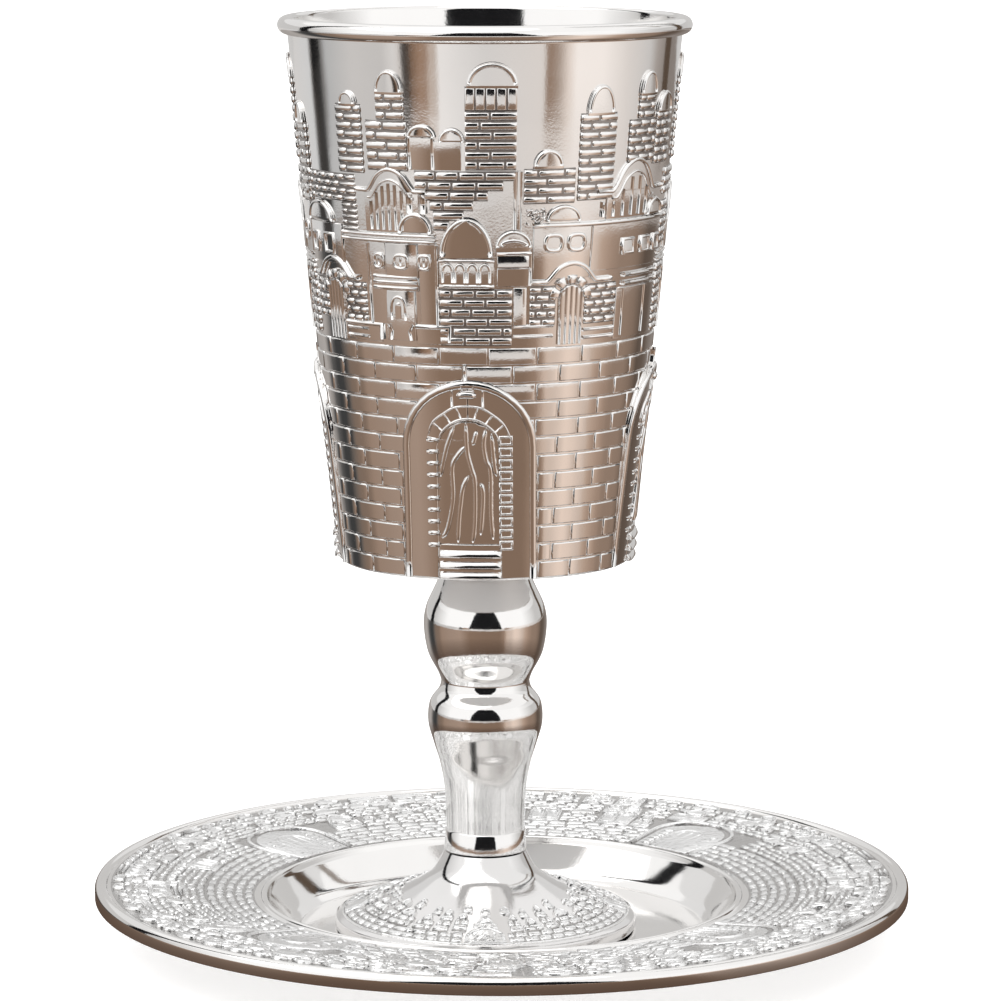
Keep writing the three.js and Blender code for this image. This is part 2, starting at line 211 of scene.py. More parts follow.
class Relief:
    """Closed raised bodies on a surface, gathered into one mesh.

    A place on the surface is (angle in degrees, up in millimetres).
    """

    def __init__(self, surface, ground=None, uneven=0.02, flatness=1.3):
        self.surface = surface
        self.uneven = uneven  # how far its faces are out of true, as cast ones are
        self.flatness = flatness
        self.ground = ground or self  # where the backing behind a brick wall goes: painted shade
        self.turn = 0.0  # added to every angle
        self.points = []
        self.faces = []

    def corner(self, place, out):
        angle, up = place
        self.points.append(self.surface.place(angle + self.turn, up, out))
        return len(self.points) - 1

    def face(self, *corners):
        self.faces.append(corners[::-1] if self.surface.flipped else corners)

    def aside(self, path, k, distance, closed=False):
        """The place at a distance to the left of point k of a path, mitred at a corner."""
        count = len(path)
        angle, up = path[k]
        scale = self.surface.degree(up)
        steps = []
        for i, j in ((k - 1, k), (k, k + 1)):
            if not closed and (i < 0 or j >= count):
                continue
            (a0, u0), (a1, u1) = path[i % count], path[j % count]
            dx, dy = (a1 - a0) * scale, u1 - u0
            length = hypot(dx, dy)
            if length > 1e-7:
                steps.append((-dy / length, dx / length))
        nx, ny = (sum(parts) for parts in zip(*steps))
        shrink = max((nx * nx + ny * ny) / len(steps), SHARPEST)
        return angle + distance * nx / shrink / scale, up + distance * ny / shrink

    def slab(self, left, right, out, columns=None, bevel=BEVEL, bulge=0.0, level=True):
        """The region between two paths that both run from its foot to its head, raised.

        out is its height, or a function of a place. A bulge makes it rounder across.
        """
        wide = max(abs(b[0] - a[0]) for a, b in zip(left, right))
        columns = columns or max(1, ceil(wide / FACET))
        rows = len(left) - 1
        height = out if callable(out) else (lambda angle, up: out)
        slack = self.uneven if level else 0.0
        tilt = [rng.uniform(-slack, slack) for _ in range(3)]

        def blend(a, b, share):
            return a[0] + (b[0] - a[0]) * share, a[1] + (b[1] - a[1]) * share

        outline = {(r, c): blend(left[r], right[r], c / columns)
                   for r in range(rows + 1) for c in range(columns + 1)}
        border = ([(0, c) for c in range(columns)] + [(r, columns) for r in range(rows)]
                  + [(rows, c) for c in range(columns, 0, -1)]
                  + [(r, 0) for r in range(rows, 0, -1)])
        loop = [outline[spot] for spot in border]
        moved = {spot: self.aside(loop, k, bevel, closed=True) for k, spot in enumerate(border)}
        top, bottom = {}, {}
        for r, c in outline:
            s, t = 2 * c / columns - 1, 2 * r / rows - 1
            place = moved.get((r, c)) or blend(moved[r, 0], moved[r, columns], c / columns)
            rise = height(*place) + tilt[0] + tilt[1] * s + tilt[2] * t + bulge * (1 - s * s)
            top[r, c] = self.corner(place, rise)
            bottom[r, c] = self.corner(outline[r, c], -ROOT)
        edge = [self.corner(place, height(*place) - bevel) for place in loop]
        for r in range(rows):
            for c in range(columns):
                ring = (r, c), (r, c + 1), (r + 1, c + 1), (r + 1, c)
                self.face(*[top[spot] for spot in ring])
                self.face(*[bottom[ring[i]] for i in (0, 3, 2, 1)])
        for k, here in enumerate(border):
            n = (k + 1) % len(border)
            self.face(bottom[here], bottom[border[n]], edge[n], edge[k])
            self.face(edge[k], edge[n], top[border[n]], top[here])

    def line(self, path, width, out, closed=False, taper=False):
        """A raised round-backed line along a path. out is its height, or a function of a place."""
        across = ((1.0, None), (0.9, -0.3), (0.55, -0.1), (0.0, 0.0), (-0.55, -0.1), (-0.9, -0.3),
                  (-1.0, None))
        count = len(path)
        rings = []
        for k in range(count):
            ends = min(k, count - 1 - k) / 2
            share = min(1.0, 0.35 + 0.65 * ends) if taper else 1.0
            ring = []
            top = out(*path[k]) if callable(out) else out
            for side, drop in across:
                place = self.aside(path, k, side * share * width / 2, closed)
                height = -ROOT if drop is None else top + drop
                if taper and height > 0:
                    height *= 0.4 + 0.6 * share
                ring.append(self.corner(place, height))
            rings.append(ring)
        for k in range(count if closed else count - 1):
            near, far = rings[k], rings[(k + 1) % count]
            for i in range(len(across)):
                j = (i + 1) % len(across)
                self.face(near[j], far[j], far[i], near[i])
        if not closed:
            self.face(*rings[0])
            self.face(*rings[-1][::-1])

    # Figures made of slabs and lines. Their edges are given as angles.

    def block(self, left, right, foot, head, out=MID, **how):
        """A flat-headed block."""
        rows = ceil((head - foot) / self.surface.step)
        ups = [foot + (head - foot) * i / rows for i in range(rows + 1)]
        self.slab([(left, up) for up in ups], [(right, up) for up in ups], out, **how)

    def arch_path(self, left, right, spring, rise, steps=14):
        """From the left springing of an arch over its top to the right one."""
        centre, half = (left + right) / 2, (right - left) / 2
        turns = [pi * (0.5 + 0.5 * (1 - 2 * i / steps)) for i in range(steps + 1)]
        return [(centre + half * cos(a), spring + rise * sin(a)) for a in turns]

    def dome(self, left, right, spring, rise, out=HIGH, ring=0.5, foot=None, bulge=0.12,
             width=0.75):
        """A round-headed body with a raised ring inside its outline."""
        steps = 9
        centre, half = (left + right) / 2, (right - left) / 2
        turns = [radians(84) * i / steps for i in range(steps + 1)]
        start = [] if foot is None else [(1.0, foot)]
        side = start + [(cos(a), spring + rise * sin(a)) for a in turns]
        self.slab([(centre - half * s, up) for s, up in side],
                  [(centre + half * s, up) for s, up in side], out, bulge=bulge)
        if ring:
            inset = ring / self.surface.degree(spring)
            path = self.arch_path(left + inset, right - inset, spring, rise - ring, 18)
            proud = out(centre, spring + rise) if callable(out) else out
            self.line(path, width, proud + 0.26)

    def bricks(self, left, right, foot, head, rows, length, out=HIGH, joint=0.36, start=0,
               bevel=0.28):
        """Courses of bricks that break joint, on a darker ground that is painted shade."""
        pitch = (head - foot) / rows
        self.ground.turn = self.turn
        # The backing, in a darker silver: painted shade between the bricks.
        self.ground.block(left, right, foot, head, out - 0.3)
        for row in range(rows):
            low = foot + row * pitch + joint / 2
            high = low + pitch - joint
            degree = self.surface.degree(low)
            span = (right - left) * degree
            joints = []
            reach = length * (0.5 if (row + start) % 2 else 1.0) * rng.uniform(0.85, 1.1)
            while reach < span - 0.35 * length:
                joints.append(left + reach / degree)
                reach += length * rng.uniform(0.88, 1.12)
            half = joint / 2 / degree
            starts = [left] + [angle + half for angle in joints]
            stops = [angle - half for angle in joints] + [right]
            for a, b in zip(starts, stops):
                if (b - a) * degree > SHORTEST_BRICK:
                    self.slab([(a, low), (a, high)], [(b, low), (b, high)], out, bevel=bevel)

    def piece(self, name, material, slot, replaces):
        made = new_piece(name, self.points, self.faces, material, slot, replaces)
        shade_flat_tops(made.data, self.flatness)


# ---- Materials ----

def new_material(name):
    material = bpy.data.materials.new(name)
    material.use_nodes = True
    return material, material.node_tree


def add_node(tree, kind, inputs, **settings):
    """A shader node. Its inputs are set to values, or linked where they are given a socket."""
    node = tree.nodes.new("ShaderNode" + kind)
    for name, value in settings.items():
        setattr(node, name, value)
    for name, value in inputs.items():
        if isinstance(value, bpy.types.NodeSocket):
            tree.links.new(value, node.inputs[name])
        else:
            node.inputs[name].default_value = value
    return node


def silver(name, tone, roughness, grain, wave, wave_scale=110.0, metallic=1.0):
    """Silver plate: a waviness and a fine grain in the surface, and a faint tarnish."""
    material, tree = new_material(name)
    shader = tree.nodes["Principled BSDF"]
    shader.inputs["Metallic"].default_value = metallic
    where = add_node(tree, "TexCoord", {}).outputs["Object"]

    def noise(scale, detail):
        inputs = {"Scale": scale, "Detail": detail, "Vector": where}
        return add_node(tree, "TexNoise", inputs).outputs["Fac"]

    tint = add_node(tree, "ValToRGB", {"Fac": noise(60.0, 4.0)})
    dark, bright = tint.color_ramp.elements
    dark.position, bright.position = 0.3, 0.7
    dark.color = (*[c * 0.95 for c in tone], 1.0)
    bright.color = (*tone, 1.0)
    gloss = add_node(tree, "MapRange", {"To Min": roughness * 0.75, "To Max": roughness * 1.35,
                                        "Value": noise(240.0, 6.0)})
    waves = add_node(tree, "Bump", {"Distance": 0.0002, "Strength": wave,
                                    "Height": noise(wave_scale, 2.0)})
    fine = add_node(tree, "Bump", {"Distance": 0.00002, "Strength": grain,
                                   "Height": noise(2600.0, 3.0), "Normal": waves.outputs["Normal"]})
    tree.links.new(tint.outputs["Color"], shader.inputs["Base Color"])
    tree.links.new(gloss.outputs["Result"], shader.inputs["Roughness"])
    tree.links.new(fine.outputs["Normal"], shader.inputs["Normal"])
    return material


# ---- The bowl ----

def cone(up):
    lean = hypot(1, SLOPE)
    return BOWL_EDGE_RADIUS + SLOPE * up, BOWL_EDGE + up, 1 / lean, -SLOPE / lean


def bowl_body(material, brushed):
    inner = [(BOWL_EDGE_RADIUS - BOWL_WALL + SLOPE * (z - BOWL_EDGE), z)
             for z in (BOWL_FLOOR + FLOOR_FILLET, CONE_TOP)]
    fillet = inner[0][0] - FLOOR_FILLET
    profile = [(0, BOWL_BOTTOM + 0.5), (9.8, BOWL_BOTTOM + 0.5), (25.5, BOWL_EDGE + 0.2),
               (25.9, BOWL_EDGE - 0.12)]
    profile += arc(BOWL_EDGE_RADIUS - 0.5, BOWL_EDGE + 0.35, 0.5, -80, -5, 6)
    profile += [cone(up)[:2] for up in range(2, 92, 6)]
    profile += [(CONE_TOP_RADIUS, CONE_TOP)]
    profile += arc(RIM_RING_RADIUS, RIM_CENTRE, RIM_TUBE, -100, 90, 20)
    lip = RIM_CENTRE + RIM_TUBE - LIP_FILLET
    profile += arc(inner[1][0] + 0.3 + LIP_FILLET, lip, LIP_FILLET, 90, 180, 8)
    profile += [inner[1]]
    profile += arc(fillet, BOWL_FLOOR + FLOOR_FILLET, FLOOR_FILLET, 0, -90, 10)
    profile += [(0, BOWL_FLOOR)]
    turned_piece("bowl_body", profile, 240, CUP_X, 40, material, *ON_BOWL)
    profile = [(0, BOWL_BOTTOM), (9.8, BOWL_BOTTOM), (25.88, BOWL_EDGE - 0.12),
               (25.6, BOWL_EDGE + 0.25), (9.8, BOWL_BOTTOM + 0.8), (0, BOWL_BOTTOM + 0.8)]
    turned_piece("bowl_underside", profile, 160, CUP_X, 25, brushed, *ON_BOWL)


GATE_AT = -5.8
GATE_WIDTH, GATE_SPRING, GATE_RISE = 24.0, 24.2, 12.0
GATE_PROUD, GATE_LEAN = 0.24, 0.8
DOOR_HALF, DOOR_FOOT, DOOR_SPRING, DOOR_RISE = 5.55, 6.5, 23.4, 5.6
DOOR_DEPTH = 0.35


def gate_face(angle, up):
    """Height of a gateway's panel, which leans out towards its head."""
    return GATE_PROUD + GATE_LEAN * (max(up, 0) / (GATE_SPRING + GATE_RISE)) ** 2


def gateway(town, turn):
    """An arched panel with a door in it, a ring of wedge stones and three steps."""
    town.turn = turn

    def at(x, up):
        return GATE_AT + x / town.surface.degree(up), up

    def raised(extra):
        return lambda angle, up: gate_face(angle, up) + extra

    def lay(path, width, extra, **how):
        town.line([at(*place) for place in path], width, raised(extra), **how)

    def door(angle, up):
        return max(gate_face(angle, up) - DOOR_DEPTH, 0.09)

    quarter = [pi / 2 * i / 10 for i in range(11)]

    def side(half, spring, rise, sign):
        straight = [0.2 + (spring - 0.2) * i / 6 for i in range(6)]
        path = [at(sign * half, up) for up in straight]
        return path + [at(sign * half * cos(a), spring + rise * sin(a)) for a in quarter]

    for sign in (-1, 1):
        outside = side(GATE_WIDTH / 2, GATE_SPRING, GATE_RISE, sign)
        inside = side(DOOR_HALF, DOOR_SPRING, DOOR_RISE, sign)
        left, right = (outside, inside) if sign < 0 else (inside, outside)
        town.slab(left, right, gate_face, columns=3, bevel=0.22, level=False)
    # A rounded edge that runs up both sides and over the arch.
    edges = [side(GATE_WIDTH / 2 - 0.7, GATE_SPRING, GATE_RISE - 0.7, sign) for sign in (-1, 1)]
    town.line(edges[0] + edges[1][-2::-1], 1.5, raised(0.38))
    # The sill with its three steps, whose fronts lean back.
    sill = [0.2, 3.4, DOOR_FOOT]
    town.slab([at(-DOOR_HALF, up) for up in sill], [at(DOOR_HALF, up) for up in sill],
                gate_face, level=False)
    for low in (0.3, 2.2, 4.2):
        town.slab([at(-5.3, low), at(-5.3, low + 1.3)], [at(5.6, low), at(5.6, low + 1.3)],
                    leaning(low, gate_face(0, low) + 0.9, -0.55), bevel=0.3)
    # The door, sunk behind the panel, with wavy grain.
    levels = [(DOOR_HALF, up) for up in (DOOR_FOOT, 12, 18, DOOR_SPRING)]
    levels += [(DOOR_HALF * cos(a), DOOR_SPRING + DOOR_RISE * sin(a))
               for a in quarter[2:-1:2]]
    town.slab([at(-h, up) for h, up in levels], [at(h, up) for h, up in levels], door,
                level=False)

    def ridge(knots, width, out):
        town.line([at(x, up) for x, up in spline(knots, 5)], width, out, taper=True)

    for knots in DOOR_GRAIN:
        ridge(knots, 0.95, lambda angle, up: door(angle, up) + 0.46)
    # Short bars up the left side and small frames up the right one.
    for i in range(10):
        low = 6.3 + 2.12 * i
        lay([(-7.3, low), (-6.3, low + 0.06), (-5.3, low)], 0.85, 0.34)
        lay([(5.5, low - 0.6), (7.5, low - 0.6), (7.5, low + 0.75), (5.5, low + 0.75)], 0.5, 0.28,
            closed=True)
    # Wedge stones over the arch, set apart by thin ridges.
    for knots in WEDGE_ARCS:
        ridge(knots, 0.5, raised(0.26))
    for far, near in zip(WEDGE_ARCS[0][:-1], WEDGE_ARCS[1][:-1]):
        lay([far, near], 0.5, 0.24)
    # The keystone between two uprights, its boss, a small box above it and the pin.
    for x in (-2.7, 2.6):
        lay([(x, 31.5), (x, 33.6), (x, 35.6)], 0.6, 0.26)
    ridge([(-1.9, 33.6), (-0.2, 33.75), (1.5, 33.6)], 1.3, raised(0.75))
    lay([(-1, 34.4), (1, 34.4), (1, 35.5), (-1, 35.5)], 0.45, 0.4, closed=True)
    town.line([at(-0.4, 36), at(-0.45, 37.5), at(-0.5, 38.9)], 0.7, 0.95)


# Lines of the gateways, as (distance from the middle, up): both edges of the ring of wedge
# stones, and the ridges of the doors' grain.
WEDGE_ARCS = [
    [(-7.2, 25.9), (-6.2, 28.6), (-4.2, 30.3), (-2.0, 31.5), (1.8, 31.5), (4.3, 30.1), (6.2, 28.3),
     (7.5, 25.4)],
    [(-5.2, 25.5), (-4.45, 27.1), (-3.0, 28.5), (-1.15, 29.3), (1.1, 29.3), (3.0, 28.4),
     (4.6, 26.9), (5.3, 25.2)],
]
DOOR_GRAIN = [
    [(-2.4, 28.0), (-3.65, 24.6), (-4.4, 21.7), (-5.0, 18.8)],
    [(-0.5, 24.3), (-1.9, 22.7), (-2.9, 20.4), (-2.8, 14.8), (-3.8, 9.6), (-4.8, 7.6)],
    [(-0.4, 28.8), (-0.2, 23.5), (0.5, 20.4), (1.1, 17.7), (1.05, 10.6), (0.6, 6.9)],
    [(0.0, 19.0), (-1.0, 16.9), (-1.45, 14.0), (-1.8, 10.9), (-2.0, 6.9)],
    [(1.5, 27.2), (1.1, 25.6), (0.8, 24.6)],
    [(3.1, 27.5), (2.7, 24.8), (3.1, 21.9), (3.85, 19.6), (3.85, 12.2), (4.2, 7.5)],
    [(4.05, 26.7), (4.3, 23.5), (4.55, 20.9), (4.85, 19.0)],
    [(2.05, 17.7), (2.5, 15.9), (2.35, 12.2), (2.0, 8.3)],
]

WALL_STONES = 22  # in each course of the city wall
BRICK_TURN = 360 / WALL_STONES
WALL_COURSES = 13


def wall_face(course, middle, low):
    """Height of the city wall's stones. A few just above the front gateway lean back."""
    middle = (middle + 180) % 360 - 180
    set_apart = course < 3 and (-27 < middle < -16 or -1 < middle < 12)
    return leaning(low, 0.38, -0.045) if set_apart else 0.3


def city_wall(town):
    """Courses of long stones all round. The gateways cut them short, or cover them higher up."""
    pitch = WALL_TOP / WALL_COURSES
    joint = 0.24
    half_gate = GATE_WIDTH / 2 + 0.15
    for course in range(WALL_COURSES):
        high = WALL_TOP - course * pitch - joint / 2
        low = max(high - pitch + joint, 0.15)
        degree = town.surface.degree(low)
        first = 1.0 - (BRICK_TURN / 2 if course % 2 else 0)
        for k in range(WALL_STONES):
            left = first + k * BRICK_TURN + joint / 2 / degree
            right = first + (k + 1) * BRICK_TURN - joint / 2 / degree
            gate = GATE_AT + 90 * round(((left + right) / 2 - GATE_AT) / 90)
            spans = [(left, right)]
            if low < GATE_SPRING - 4:
                reach = half_gate / degree
                spans = [(left, min(right, gate - reach)), (max(left, gate + reach), right)]
            elif low < GATE_SPRING + GATE_RISE * 0.5 and abs((left + right) / 2 - gate) < 8:
                continue
            for start, stop in spans:
                if (stop - start) * degree > 0.8:
                    town.slab([(start, low), (start, high)], [(stop, low), (stop, high)],
                                wall_face(course, (left + right) / 2, low), bevel=0.25)


def bell(centre, half, foot, rise, drop=0.0, scale=1.0):
    """A curve that swings up from level shoulders to a round head and down again."""
    knots = [(-1.3, 0), (-1.08, 0.01), (-0.92, 0.2), (-0.54, 0.76), (0, 1), (0.54, 0.76),
             (0.92, 0.2), (1.08, 0.01), (1.3, 0)]
    return [(centre + half * scale * s, foot - drop + rise * scale * t)
            for s, t in spline(knots, 4)]


def bell_arch(town, middle, half, sill, shoulder, top, ends, fins):
    """A double ridge over a bell-shaped arcade of fins. ends are where its shoulders stop."""
    head = bell(middle, half, shoulder, top - shoulder)
    inner = bell(middle, half, shoulder, top - shoulder, 1.25, 0.84)
    count = len(head) // 2
    town.slab([(head[0][0], sill)] + head[:count], [(head[-1][0], sill)] + head[:count:-1],
                LOW - 0.06, level=False)
    town.line([(ends[0], shoulder)] + head + [(ends[1], shoulder)], RIDGE, LOW + 0.36)
    town.line(inner, 0.6, LOW + 0.24)
    for angle in fins:
        high = min(inner, key=lambda place: abs(place[0] - angle))[1] - 0.6
        uprights(town, [angle], sill + 0.5, high, LOW + 0.28, 0.7)


def doorway(town, middle, sill, spring, top):
    """A planked door under a ring of wedge stones."""
    half, planks, wedges, depth = 4.4, 5, 5, 1.7
    town.dome(middle - half, middle + half, spring, top - spring, LOW, ring=0, foot=sill, bulge=0.0)
    for i in range(planks):
        s = 1.7 * i / (planks - 1) - 0.85
        head = spring + (top - spring) * sqrt(1 - s * s) * 0.9
        uprights(town, [middle + half * s], sill, head, LOW + 0.3, 0.6)
    degree = town.surface.degree(spring)
    across, rise = half * degree + 0.1, top - spring + 0.1
    for i in range(wedges):
        turns = [pi - pi * (i + share) / wedges for share in (0.09, 0.5, 0.91)]
        far, near = [[(middle + (across + out) * cos(a) / degree, spring + (rise + out) * sin(a))
                      for a in turns] for out in (depth, 0)]
        town.slab(far, near, MID + 0.16, columns=1, bevel=0.24)


def loop(town, left, right, foot, head, out, corners=16, width=0.7):
    """A raised frame: an oval, or with four corners a rectangle."""
    centre, half = (left + right) / 2, (right - left) / 2
    middle, rise = (foot + head) / 2, (head - foot) / 2
    if corners == 4:
        path = [(left, foot), (right, foot), (right, head), (left, head)]
    else:
        turns = [2 * pi * i / corners for i in range(corners)]
        path = []
        for a in turns:
            c, t = cos(a), sin(a)
            path.append((centre + half * copysign(abs(c) ** 0.7, c),
                         middle + rise * copysign(abs(t) ** 0.7, t)))
    town.line(path, width, out, closed=True)


def moulding(town, left, right, ups, out, width=0.7):
    """Level ridges that run round a front."""
    count = max(2, ceil((right - left) / FACET))
    for up in ups:
        town.line([(left + (right - left) * i / count, up) for i in range(count + 1)],
                    width, out)


def uprights(town, angles, foot, head, out, width=0.6):
    """Upright ridges."""
    for angle in angles:
        town.line([(angle, foot), (angle, (foot + head) / 2), (angle, head)], width, out)


def leaning(foot, proud, slope):
    """A face that leans: outwards with height where the slope is positive, else backwards."""
    return lambda angle, up: proud + slope * (up - foot)


def tower(town, left, right, foot, eaves, rows, length, dome, rise):
    """A brick tower with a dome. dome is its (left, right)."""
    town.dome(*dome, eaves + 0.1, rise, MID, ring=0.45, foot=eaves - 0.5)
    town.bricks(left, right, foot, eaves, rows, length, start=1)


def city_front(town, turn):
    """Houses, domes and towers over half of the bowl, above the city wall."""
    town.turn = turn
    lowest_row(town)
    second_row(town)
    third_row(town)
    skyline(town)


def lowest_row(town):
    # The brick front below the great dome, and the pale pier beside it.
    town.bricks(-14.6, 8.7, 42.3, 52.4, 6, 4.1, 0.52)
    town.block(9.1, 13.4, 46, 52.6, leaning(46, 0.5, -0.05), bulge=0.2)
    moulding(town, 9.2, 22.6, [43.9, 45.7], 0.5)
    # Two boxes with a ridge round them.
    for left, right in ((-51.5, -35.9), (-23, -11.6)):
        town.block(left, right, 42.4, 45.6, leaning(42.4, 0.15, 0.06))
        town.line([(left, 45.5), ((left + right) / 2, 45.5), (right, 45.5), (right, 42.9)],
                    RIDGE, 0.62)
    # Two doorways with brick to both sides, under an arched string course.
    for left, middle, right in ((14.5, 28.6, 47), (-71, -56.6, -41.6)):
        town.bricks(left, middle - 5.4, 45.6, 52.8, 5, 2.3, 0.46)
        town.bricks(middle + 5.4, right, 45.6, 52.8, 5, 2.3, 0.46)
        moulding(town, middle + 5.4, right, [44.6, 43.2], 0.5)
        doorway(town, middle, WALL_TOP + 0.3, 50.4, 52.9)
        string = bell(middle, 8.2, 53.5, 3.2)
        town.line([(left, 53.5)] + string + [(right - 3, 53.5)], 0.95, 0.84)
    # The plain front: a dark bay, a pale bay with a window, mouldings and a niche.
    town.block(-39.2, -32.6, 45.7, 60.3, 0.4)
    town.block(-21.2, -15.3, 45.7, 60.3, leaning(45.7, 0.05, 0.03))
    town.block(-32.5, -21.4, 54.2, 60.2, leaning(54.2, 0.62, -0.02), bulge=0.08)
    town.block(-37.4, -21.4, 51.8, 54.2, 0.5)
    moulding(town, -37.4, -21.6, [52.3, 53.3, 54.2], 0.84, 0.75)
    town.block(-33.2, -22.8, 43, 51.8, leaning(43, 0.66, -0.03), bulge=0.12)
    niche = [(-31.2, 46.6), (-31.2, 48)] + town.arch_path(-31.2, -26.2, 49, 1.7, 10)
    town.line(niche + [(-26.2, 48), (-26.2, 46.6)], 0.8, 0.78)
    town.dome(-29.9, -27.5, 48.9, 0.9, 0.72, ring=0, foot=46.8)
    town.line([(-32.4, 45.8), (-31.2, 44.6), (-31.6, 43.1)], 0.7, 0.95)
    town.line([(-24.4, 43.1), (-24.9, 44.6), (-23.6, 45.8)], 0.7, 0.95)
    uprights(town, [-39.2, -15.3], 45.8, 60, 0.66, 0.7)
    for left, right in ((-36.6, -33.4), (-29.4, -24.7), (-21.1, -17.3)):
        town.block(left - 0.3, right + 0.3, 55.5, 58.5, 0.62)
        loop(town, left, right, 55.8, 58.2, 0.96)
        town.line([((left + right) / 2, 56.3), ((left + right) / 2, 57.8)], 0.6, 0.82)
    # A plain front at the right, with a door bay below its mouldings.
    town.block(47.2, 72, 42.4, 51.6, 0.26)
    uprights(town, [50.6, 63.6], 43, 51.4, 0.52)
    moulding(town, 50.4, 72, [52.3, 53.8], 0.7, 0.9)
    # Brick houses at the side, which the front view does not reach.
    for left, right in ((74, 84.6), (95.4, 107)):
        town.bricks(left, right, 42.3, 54.8, 8, 3.2, MID)
    doorway(town, 90, WALL_TOP + 0.4, 50.6, 53.2)
    moulding(town, 74, 107, [55.4, 56.6], 0.7)


def second_row(town):
    # The great dome, which leans forwards, on its colonnade.
    town.dome(-14.2, 2.6, 58.2, 6.8, leaning(57.6, 0.34, 0.075), ring=0.5, foot=57.6,
                bulge=0.3, width=0.95)
    town.block(-14.4, 2.9, 52.6, 57.6, LOW + 0.04)
    moulding(town, -14.4, 2.9, [52.9, 57.4], 0.76, 0.8)
    for left in (-13.3, -9.4, -5.5, -1.6):
        town.line([(left, 53.6)] + town.arch_path(left, left + 3.1, 55.7, 1.1, 8)
                    + [(left + 3.1, 53.6)], 0.62, 0.76)
    # A smaller dome on a plain drum.
    town.block(3.8, 13.9, 52.8, 56.1, leaning(52.8, 0.16, 0.065))
    town.block(3.8, 13.9, 56.3, 58.4, leaning(56.3, 0.6, -0.1))
    town.dome(3.2, 14.7, 59.8, 3.0, MID, ring=0.4, foot=58.4, bulge=0.15, width=0.8)
    moulding(town, 3.6, 14.4, [58.7], 0.84, 0.8)
    town.line(town.arch_path(5, 12.9, 60.1, 0.9, 8), 0.8, 0.8)
    uprights(town, [14.3], 53, 59.4, 0.6, 0.7)
    # The plain house with two round windows.
    town.block(15, 34.8, 54, 63.2, LOW)
    for left, right in ((18.9, 24.5), (26.7, 32.4)):
        loop(town, left, right, 59, 61.8, 0.76, width=0.9)
    moulding(town, 15, 76, [63.5], 0.78, 0.9)
    uprights(town, [34.9], 54, 63, 0.5, 0.5)
    # The long front with square windows.
    town.block(35.4, 72, 55, 63.2, leaning(55, 0.2, 0.02))
    for left, right in ((47.9, 53.9), (57.6, 63), (66, 71)):
        town.block(left, right, 57.5, 60.5, leaning(57.5, 0.66, -0.06))
        loop(town, left + 0.4, right - 0.4, 57.8, 60.2, 0.8, corners=4, width=0.6)
    # The far left: a dome over a front with two windows.
    town.block(-71, -51, 55.6, 62.8, LOW - 0.06)
    town.dome(-72, -55, 63, 3.8, MID, ring=0.5, width=0.95)
    for left, right in ((-69, -65), (-60.5, -55.5)):
        loop(town, left, right, 57.6, 60.8, 0.7, corners=4)
    moulding(town, -50, -15.5, [60.6, 61.6], 0.8, 0.75)
    town.dome(-27.8, -16.2, 62.1, 3.7, leaning(62, 0.36, 0.06), ring=0.5, width=0.95)
    # Beyond the front view: a domed hall between two houses.
    town.block(98.5, 108.5, 57, 66, LOW)
    town.bricks(74, 83, 58, 66, 5, 3, MID)
    town.dome(84, 98, 62, 7, HIGH, ring=0.5, foot=57, bulge=0.2)
    loop(town, 101, 106, 59, 62.4, 0.7)


def third_row(town):
    # Two arcades under bell-shaped arches, and the pillars beside the first.
    bell_arch(town, -30, 7.4, 62, 69.4, 73.2, (-43, -18), [-37, -34.8, -32.6, -30.4, -28.2, -26])
    bell_arch(town, 52.8, 9.6, 64, 69, 74.3, (36.5, 70), [39, 43, 47, 51, 55, 59, 63])
    uprights(town, [-23.4, -19], 65.6, 69, 0.7, 1.3)
    town.dome(60, 71, 64, 3.2, HIGH, ring=0.45)
    # Brick walls at the left.
    town.bricks(-71, -43.6, 66.9, 71.9, 4, 3, MID)
    town.bricks(-50, -43.4, 61.9, 66.9, 5, 3, MID)
    # The stepped brick terrace under the middle tower.
    steps = ((71.4, -21.6, 9.4), (69.65, -21.6, 5.5), (67.9, -18.6, 0.9), (66.15, -17, -3.6),
             (64.4, -16, -6.5), (62.65, -16, -11))
    for i, (low, left, right) in enumerate(steps):
        town.bricks(left, right, low, low + 1.75, 1, 4.4, 0.5, start=i)
    # The plain post at a wall's end, and the domed brick house beside it.
    uprights(town, [9.1], 62.9, 73, 0.46, 0.7)
    town.block(9.6, 10.8, 62.9, 73.2, 0.3)
    uprights(town, [11], 62.9, 73, 0.42, 0.5)
    town.bricks(11.8, 28.2, 67.3, 73.5, 4, 4.6, 0.54)
    town.dome(14.6, 24, 74, 2.9, MID, ring=0.45, foot=73.4, width=0.85)
    town.dome(18.9, 30.8, 64.2, 2.9, MID, ring=0.4, width=0.8)
    # A tree beside the dome.
    for _ in range(26):
        angle = 12.4 + 5.6 * rng.random()
        up = 63.8 + 2.5 * rng.random()
        town.line([(angle, up), (angle + rng.uniform(0.8, 2), up + rng.uniform(-0.4, 0.8))],
                    0.5, 0.34 + 0.34 * rng.random())
    town.bricks(74, 108.5, 67, 72, 3, 3.4, MID)


